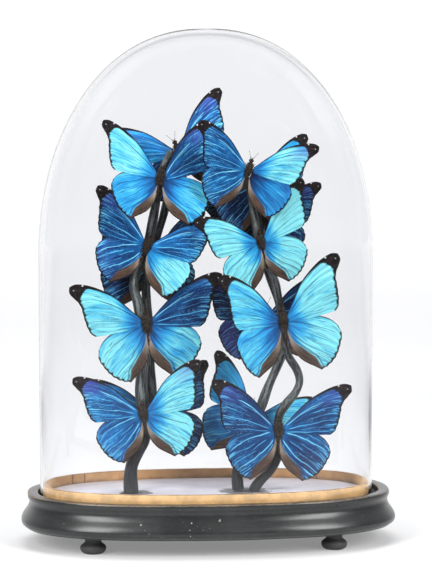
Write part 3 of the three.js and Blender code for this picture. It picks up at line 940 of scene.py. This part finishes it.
def blown_dome(sizes):
    width, depth, wall = (value / MM for value in (sizes.half_width, sizes.half_depth, sizes.wall))
    shoulder, top = sizes.shoulder / MM, sizes.top / MM
    foot, crown_steps, crown_power, thickening = 46.5, 40, 2.23, 1.4

    def skin(inset):
        # a narrow ring at either end keeps the straight wall's shading straight
        heights = (foot, foot + 0.5, 90, 140, 190, 240, shoulder - 6, shoulder)
        rings = inset_rings((width, depth), [(inset, z, 0) for z in heights], INSET_X)
        for step in range(1, crown_steps + 1):
            climb = math.sin(step / crown_steps * math.pi / 2)
            share = max(0.0, 1 - climb ** 2) ** (1 / crown_power)
            # the blown crown is thicker than the wall
            deep = inset * (1 + thickening * climb ** 2)
            rings.append(((width - deep) * share, (depth - deep) * share, INSET_X,
                          shoulder + climb * (top - deep - shoulder), 0))
        return rings

    rim = [(wall - 0.3, 45.6, 0), (wall * 0.75, 45, 0), (wall * 0.25, 45, 0)]
    rings = skin(wall)[::-1] + inset_rings((width, depth), rim, INSET_X) + skin(0)
    mesh = oval_stack(rings, sizes.segments)
    glass = finish_piece("blown_dome", mesh, [clear_glass()], "clear_glass", ["glass_dome"],
                         sharp=60)
    # the lamps light what is inside as if the glass weren't there, and make no glare on it
    glass.visible_shadow = False
    unlit = bpy.data.collections.new("lamps_leave_out")
    unlit.objects.link(glass)
    unlit.collection_objects[0].light_linking.link_state = "EXCLUDE"
    for holder in bpy.data.objects:
        if holder.type == "LIGHT":
            holder.light_linking.receiver_collection = unlit


# ---- Branches ----


def branch_line(name, count):
    return evenly(smooth_points(BRANCHES[name][0]), count)


def painted_branches(colours):
    paint, glue = branch_paint(colours), dark_glue()
    rings, sides, swell_length = 150, 28, 46
    for number, (name, (_, (thick, thin))) in enumerate(BRANCHES.items()):
        line = branch_line(name, rings)
        length = sum((b - a).length for a, b in zip(line, line[1:]))
        radii = []
        for step in range(rings + 1):
            share = step / rings
            swell = 1 + 0.07 * math.sin(2 * math.pi * share * length / swell_length)
            radii.append((thick + (thin - thick) * share) * swell)

        def bark(radius, turn, ring, number=number):
            lumps = around(turn, 1.1, ring * 0.045 + number * 7) * 0.13
            ribs = around(turn, 3, ring * 0.03 + number * 7) * 0.08
            return radius * (0.98 + lumps + ribs)

        mesh = bmesh.new()
        tube(mesh, line, radii, sides, bark)
        if name != "left_side_branch":
            cut_level(mesh, FLOOR_TOP + 0.3)
        face_outwards(mesh)
        along_of = mesh.verts.layers.float_vector.new("along")
        for vert in mesh.verts:
            ring = min(range(0, len(line), 2), key=lambda i: (line[i] - vert.co).length_squared)
            off = vert.co - line[ring]
            turn = math.atan2(off.y, off.x)
            lengthways = ring / rings * length / 400 + 0.3 * math.sin(turn)
            vert[along_of] = (math.cos(turn), lengthways, number * 3.0)
        finish_piece(name.replace("branch", "painted_branch"), mesh, [paint], "dark_branch", [name])
    for name, (x, y), reach in (("left_glue", (-79, -7), 11.5), ("right_glue", (39, -6), 14)):
        mesh = bmesh.new()
        puddle(mesh, x, y, reach, 1.9)
        finish_piece(name, mesh, [glue], "dark_branch")


def puddle(mesh, x, y, reach, height):
    """A flat pool of glue that creeps up round a branch's foot."""
    bmesh.ops.create_uvsphere(mesh, u_segments=56, v_segments=24, radius=1)
    for vert in mesh.verts:
        turn = math.atan2(vert.co.y, vert.co.x)
        wide = reach * (1 + 0.32 * around(turn, 1.6, x) + 0.14 * around(turn, 5, x))
        rise = max(0.0, vert.co.z) * (1 - 0.55 * math.hypot(vert.co.x, vert.co.y)) * height
        vert.co = (x + vert.co.x * wide, y + vert.co.y * wide * 0.62, FLOOR_TOP + 0.02 + rise)
    cut_level(mesh, FLOOR_TOP + 0.03)
    face_outwards(mesh)


# ---- Butterflies ----


def wing_plan(edges, columns, rows):
    """Where each corner of a wing's grid lies, so that its columns fan out like veins."""
    front, outer, hind = (smooth_points([(x, y, 0) for x, y in edge]) for edge in edges)
    front, hind, outer = evenly(front, rows), evenly(hind, rows), evenly(outer, columns)
    plan = {}
    for i in range(columns + 1):
        u = i / columns
        for j in range(rows + 1):
            v = j / rows
            root = front[0].lerp(hind[0], u)
            sides = front[j].lerp(hind[j], u) + root.lerp(outer[i], v)
            plan[i, j] = sides - root.lerp(outer[0].lerp(outer[-1], u), v)
    return plan


COLUMNS, ROWS = 6 * VEINS, 30
# a wing's plan, how far ahead its root is, and how far it lies under the forewing
WINGS = {
    "fore": (wing_plan(FOREWING, COLUMNS, ROWS), 1, 0.0),
    "hind": (wing_plan(HINDWING, COLUMNS, ROWS), -1, 0.7),
}


def wing_place(kind, side, swing, lift):
    """The transform from a wing's flat plan to the butterfly."""
    _, root_y, drop = WINGS[kind]
    root = Vector((side * WING_ROOT_X, root_y, 0))
    return (Matrix.Rotation(math.radians(-side * lift), 4, "Y") @ Matrix.Translation(root)
            @ Matrix.Rotation(math.radians(side * swing), 4, "Z") @ Matrix.Translation(-root)
            @ Matrix.Translation((0, 0, -drop)))


def wing_relief(flat, u, v, seed, crumple):
    pleats = 0.26 * v * math.cos(2 * math.pi * u * VEINS)
    camber = 1.1 * math.sin(math.pi * u) * v
    waves = noise.noise(Vector((flat.x / 24, flat.y / 24, seed))) * 1.3 * v
    creases = noise.noise(Vector((flat.x / 8, flat.y / 8, seed + 3))) * 0.55 * v * crumple
    return pleats + camber + waves + creases


def scales_sheet(mesh, kind, side, place, tone, seed, layers):
    """One wing as a sheet; gives the faces that are to be turned over."""
    plan = WINGS[kind][0]
    veins_of, plane_of, lit_and_violet_of = layers
    made = bmesh.ops.create_grid(mesh, x_segments=COLUMNS, y_segments=ROWS, size=0.5)["verts"]
    # bright is the wing's painted light and shade, 0 as in shade to 1 as lit
    bright, violet = tone
    # the wings painted darker, as in shade, are the more crumpled
    crumple = 1.0 if bright < 0.6 else 0.35
    for vert in made:
        u, v = vert.co.x + 0.5, vert.co.y + 0.5
        flat = plan[round(u * COLUMNS), round(v * ROWS)]
        space = u * VEINS
        ruffle = 1 + 0.0045 * math.cos(2 * math.pi * space) * v ** 12
        relief = wing_relief(flat, u, v, seed, crumple)
        vert.co = place @ Vector((side * flat.x * ruffle, flat.y * ruffle, relief))
        vert[veins_of] = (space, v, seed)
        vert[plane_of] = (flat.x / 100, flat.y / 100, 0)
        vert[lit_and_violet_of] = (bright, violet, 0, 1)
    faces = list({face for vert in made for face in vert.link_faces})
    for face in faces:
        face.material_index = 0 if kind == "fore" else 1
    return faces if side < 0 else []


FUR, CHITIN, STEEL = range(3)  # the materials of a body, in order


def furry_body(mesh, pale_of, kinds):
    """Thorax, head and abdomen turned about the y axis, with eyes, and hair on the thorax."""
    edges = polyline(mesh, [(radius, y, 0) for radius, y in BODY_PROFILE])[1]
    bmesh.ops.subdivide_edges(mesh, edges=edges, cuts=2, smooth=0.8)
    turned_profile(mesh, list(mesh.verts) + list(mesh.edges), (0, 1, 0), 24)
    for vert in mesh.verts:
        if ABDOMEN[0] < vert.co.y < ABDOMEN[1]:
            ring = 1 + 0.045 * math.cos(2 * math.pi * vert.co.y / ABDOMEN_RING)
            vert.co.x *= ring
            vert.co.z *= ring
        # the abdomen hangs behind the folds of the hindwings
        vert.co.z -= 2.1 * min(1.0, max(0.0, (-5 - vert.co.y) / 6))
        vert.co += noise.noise_vector(vert.co / 2.2) * 0.22
    for face in mesh.faces:
        face.material_index = FUR
    for side in (-1, 1):
        place = Matrix.Translation((side * 1.8, 10.3, 0.7))
        eye = bmesh.ops.create_uvsphere(mesh, u_segments=14, v_segments=10, radius=1.25,
                                        matrix=place)["verts"]
        for vert in eye:
            for face in vert.link_faces:
                face.material_index = CHITIN
    for _ in range(THORAX_HAIRS):
        turn = kinds.uniform(-0.2, math.pi + 0.2)
        y = kinds.uniform(-9.5, 8)
        wide = 4.3 - 0.022 * (y - 0.5) ** 2
        out = Vector((math.cos(turn), 0, math.sin(turn)))
        root = out * wide * 0.85 + Vector((0, y, 0))
        aim = out * kinds.uniform(0.5, 1.1) + Vector((0, kinds.uniform(-1.3, -0.3), 0))
        length = kinds.uniform(1.6, 3.6)
        hair(mesh, root, aim.normalized(), length, 0.17, pale_of, kinds.uniform(0, 0.45) ** 1.5)


def hair(mesh, root, aim, length, radius, pale_of, pale):
    turned = Vector((0, 0, 1)).rotation_difference(aim).to_matrix().to_4x4()
    place = Matrix.Translation(root + aim * length / 2) @ turned
    made = bmesh.ops.create_cone(mesh, cap_ends=True, segments=3, radius1=radius, radius2=0.02,
                                 depth=length, matrix=place)["verts"]
    for vert in made:
        vert[pale_of] = pale


def fold_hair(mesh, side, place, seed, pale_of, kinds):
    """Long hair on the fold of a hindwing, beside the abdomen."""
    plan = WINGS["hind"][0]
    for _ in range(FOLD_HAIRS):
        u = kinds.uniform(0.86, 0.995)
        v = kinds.uniform(0.04, 0.8) ** 1.25
        column, row = round(u * COLUMNS), round(v * ROWS)
        flat, ahead = plan[column, row], plan[column, min(ROWS, row + 3)]
        root = place @ Vector((side * flat.x, flat.y, wing_relief(flat, u, v, seed, 0.5)))
        aim = place.to_3x3() @ Vector((side * (ahead.x - flat.x), ahead.y - flat.y, 0)).normalized()
        aim += Vector((kinds.uniform(-0.25, 0.25), 0, kinds.uniform(0.05, 0.4)))
        pale = max(0.0, min(1.0, 1.05 - v * 1.5 + kinds.uniform(-0.2, 0.2)))
        hair(mesh, root, aim.normalized(), kinds.uniform(2.2, 4.2), 0.15, pale_of, pale)


def limb(mesh, points, radii, sides, index):
    before = set(mesh.faces)
    tube(mesh, [Vector(point) for point in points], radii, sides)
    for face in set(mesh.faces) - before:
        face.material_index = index


FUR, CHITIN, STEEL = range(3)  # the materials of a body, in order
ABDOMEN = (-26, -9)  # from the tail to the thorax
ABDOMEN_RING = 2.6
THORAX_HAIRS = 420
FOLD_HAIRS = 90  # on one hindwing
PIN_RADIUS = 0.45


def head_and_legs(mesh, side):
    """The feeler, palp and two of the legs on one side."""
    feeler = [(0.9, 11, 1), (2.4, 15, 1.9), (4.6, 19.6, 2.6), (5.4, 21.2, 2.8)]
    palp = [(0.8, 11.8, -0.6), (1.1, 14.2, -0.4)]
    limbs = [(feeler, [0.28, 0.22, 0.2, 0.3], CHITIN), (palp, [0.6, 0.2], FUR)]
    for y, reach in ((2, 7), (-2, -6)):
        leg = [(2, y, -2.5), (5, (y + reach) / 2, -5.6), (6.5, reach, -6.6)]
        limbs.append((leg, [0.42, 0.34, 0.2], CHITIN))
    for points, radii, index in limbs:
        limb(mesh, [(side * x, y, z) for x, y, z in points], radii, 6, index)


def mounted_butterfly(name, order, scales, flesh):
    at, (lean, turn, yaw), size, left, right, branch, tones = BUTTERFLIES[name]
    angles = (math.radians(90 + lean), math.radians(-turn), math.radians(yaw))
    stand = (Matrix.Translation(at) @ Euler(angles, "XYZ").to_matrix().to_4x4()
             @ Matrix.Scale(size, 4))
    kinds = random.Random(order)
    mesh, body = bmesh.new(), bmesh.new()
    # the layer named finish holds each wing's painted light and shade, 0 as in shade to 1 as lit,
    # and how violet it is
    layers = (mesh.verts.layers.float_vector.new("veins"),
              mesh.verts.layers.float_vector.new("plane"),
              mesh.verts.layers.float_color.new("finish"))
    pale_of = body.verts.layers.float.new("pale")
    furry_body(body, pale_of, kinds)
    turned = []
    tones = iter(tones)
    for side, (fore, hind, lift) in ((-1, left), (1, right)):
        seed = order * 1.7 + side * 0.4
        for kind, swing in (("fore", fore), ("hind", hind)):
            place = wing_place(kind, side, swing, lift)
            turned += scales_sheet(mesh, kind, side, place, next(tones), seed, layers)
        fold_hair(body, side, place, seed, pale_of, kinds)
        head_and_legs(body, side)
    bmesh.ops.reverse_faces(mesh, faces=turned)
    bmesh.ops.transform(mesh, matrix=stand, verts=mesh.verts)
    wings = finish_piece(name + "_wings", mesh, scales, "morpho_wing", [name], sharp=180)
    shell = wings.modifiers.new("thickness", "SOLIDIFY")
    shell.thickness = WING_THICKNESS * MM
    shell.offset = 0
    shell.material_offset = 2
    shell.material_offset_rim = 0
    # the pin runs to the nearest point of the branch
    line = branch_line(branch, 160)
    grip = stand.inverted() @ min(line, key=lambda point: (point - Vector(at)).length)
    limb(body, [(0, 0, 0), grip * 0.5, grip], [PIN_RADIUS] * 3, 8, STEEL)
    face_outwards(body)
    bmesh.ops.transform(body, matrix=stand, verts=body.verts)
    finish_piece(name + "_body", body, flesh, "morpho_wing", [name], sharp=60)


# ---- Stage ----


def soft_lamp(name, place, aim, size, power):
    lamp = bpy.data.lights.new(name, "AREA")
    lamp.shape = "RECTANGLE"
    lamp.size, lamp.size_y = size
    lamp.energy = power
    holder = bpy.data.objects.new(name, lamp)
    bpy.context.scene.collection.objects.link(holder)
    holder.location = place
    holder.rotation_euler = (Vector(aim) - Vector(place)).to_track_quat("-Z", "Y").to_euler()


def paper_sweep(half_width=7):
    """A sheet of white paper, in metres, that curves up far behind the object."""
    curve = ((-9, 0), (4.6, 0), (5.2, 0.06), (5.6, 0.3), (5.85, 0.8), (SWEEP_DEPTH, 1.6),
             (SWEEP_DEPTH, 4.5))
    mesh = bmesh.new()
    edges = polyline(mesh, [(-half_width, y, z) for y, z in curve])[1]
    verts = extruded(mesh, edges)[0]
    bmesh.ops.translate(mesh, vec=(2 * half_width, 0, 0), verts=verts)
    face_outwards(mesh)
    if mesh.faces[:][0].normal.z < 0:
        bmesh.ops.reverse_faces(mesh, faces=mesh.faces)
    bmesh.ops.scale(mesh, vec=(1 / MM,) * 3, verts=mesh.verts)
    finish_piece("paper_sweep", mesh, [studio_white()], None, sharp=180)


def studio_air():
    """The light all round, dim in front and bright behind."""
    world = bpy.data.worlds.new("studio_air")
    bpy.context.scene.world = world
    world.use_nodes = True
    nodes, links = world.node_tree.nodes, world.node_tree.links
    parts = nodes.new("ShaderNodeSeparateXYZ")
    links.new(nodes.new("ShaderNodeTexCoord").outputs["Generated"], parts.inputs[0])
    shade = nodes.new("ShaderNodeMapRange")
    links.new(parts.outputs["Y"], shade.inputs["Value"])
    limits = {"From Min": -0.25, "From Max": 0.7, "To Min": 0.07, "To Max": 0.75}
    for key, value in limits.items():
        shade.inputs[key].default_value = value
    air = nodes["Background"]
    air.inputs["Color"].default_value = (0.94, 0.96, 1.0, 1)
    links.new(shade.outputs["Result"], air.inputs["Strength"])


def front_camera():
    """A long lens a little left of the middle, looking slightly down."""
    azimuth, pitch = math.radians(-5.4), math.radians(4.92)
    distance, aside, height = 2.4, 0.00735, 0.463
    lens = bpy.data.cameras.new("view")
    lens.sensor_width = 36
    lens.lens = 149.4
    lens.clip_end = 50
    camera = bpy.data.objects.new("view", lens)
    back = Vector((math.sin(azimuth), -math.cos(azimuth), 0))
    right = Vector((math.cos(azimuth), math.sin(azimuth), 0))
    camera.location = back * distance + right * aside + Vector((0, 0, height))
    camera.rotation_euler = (math.pi / 2 - pitch, 0, azimuth)
    scene = bpy.context.scene
    scene.collection.objects.link(camera)
    scene.camera = camera
    scene.view_settings.view_transform = "Standard"
    scene.view_settings.look = "None"


def studio():
    paper_sweep()
    studio_air()
    soft_lamp("left_window", (-1.4, -1.5, 1.35), (0, 0, 0.2), (0.9, 1.4), 53)
    soft_lamp("right_window", (1.4, -1.5, 1.2), (0, 0, 0.2), (0.8, 1.3), 46)
    soft_lamp("top_light", (0, 0.2, 2.4), (0, 0.2, 0), (2.0, 1.6), 50)
    front_camera()


# ---- Operators, panel and registration ----


class DomeOperator:
    """Builds its pieces with the scene's settings; an error stops the run."""

    def execute(self, context):
        self.build(context.scene.dome_sizes, context.scene.dome_colours)
        return {"FINISHED"}


class DOME_OT_stage(DomeOperator, bpy.types.Operator):
    """Paper sweep, soft lamps and camera"""

    bl_idname = "butterfly_dome.stage"
    bl_label = "Stage"

    def build(self, sizes, colours):
        studio()


class DOME_OT_base(DomeOperator, bpy.types.Operator):
    """Moulded oval base, ebonised"""

    bl_idname = "butterfly_dome.base"
    bl_label = "Base"

    def build(self, sizes, colours):
        moulded_base(colours, sizes.segments)


class DOME_OT_feet(DomeOperator, bpy.types.Operator):
    """Four bun feet under the base"""

    bl_idname = "butterfly_dome.feet"
    bl_label = "Bun feet"

    def build(self, sizes, colours):
        bun_feet()


class DOME_OT_band(DomeOperator, bpy.types.Operator):
    """Gilt band and papered floor inside the dome's foot"""

    bl_idname = "butterfly_dome.band"
    bl_label = "Band and floor"

    def build(self, sizes, colours):
        band_and_floor(colours, sizes.segments)


class DOME_OT_branches(DomeOperator, bpy.types.Operator):
    """Four painted branches and the glue at their feet"""

    bl_idname = "butterfly_dome.branches"
    bl_label = "Branches"

    def build(self, sizes, colours):
        painted_branches(colours)


class DOME_OT_butterflies(DomeOperator, bpy.types.Operator):
    """Fifteen mounted butterflies with wings, bodies and pins"""

    bl_idname = "butterfly_dome.butterflies"
    bl_label = "Butterflies"

    def build(self, sizes, colours):
        under = brown_underside()
        scales = [morpho_scales("fore"), morpho_scales("hind"), under, under]
        flesh = [dark_fur(), chitin(), pin_steel()]
        for order, name in enumerate(BUTTERFLIES):
            mounted_butterfly(name, order, scales, flesh)


class DOME_OT_dome(DomeOperator, bpy.types.Operator):
    """Oval dome of clear blown glass"""

    bl_idname = "butterfly_dome.dome"
    bl_label = "Glass dome"

    def build(self, sizes, colours):
        blown_dome(sizes)


OPERATORS = (DOME_OT_stage, DOME_OT_base, DOME_OT_feet, DOME_OT_band, DOME_OT_branches,
             DOME_OT_butterflies, DOME_OT_dome)


class DOME_PT_panel(bpy.types.Panel):
    """Sizes, colours and pieces of the dome"""

    bl_idname = "DOME_PT_panel"
    bl_label = "Butterfly dome"
    bl_space_type = "VIEW_3D"
    bl_region_type = "UI"
    bl_category = "Butterfly dome"

    def draw(self, context):
        for group in (context.scene.dome_sizes, context.scene.dome_colours):
            for name in type(group).__annotations__:
                self.layout.prop(group, name)
        for operator in OPERATORS:
            self.layout.operator(operator.bl_idname)


CLASSES = (DomeSizes, DomeColours, *OPERATORS, DOME_PT_panel)


def register():
    for cls in CLASSES:
        bpy.utils.register_class(cls)
    bpy.types.Scene.dome_sizes = PointerProperty(type=DomeSizes)
    bpy.types.Scene.dome_colours = PointerProperty(type=DomeColours)


def unregister():
    del bpy.types.Scene.dome_colours
    del bpy.types.Scene.dome_sizes
    for cls in reversed(CLASSES):
        bpy.utils.unregister_class(cls)


def main():
    register()
    pieces = bpy.ops.butterfly_dome
    for build in (pieces.stage, pieces.base, pieces.feet, pieces.band, pieces.branches,
                  pieces.butterflies, pieces.dome):
        build()


if __name__ == "__main__":
    main()
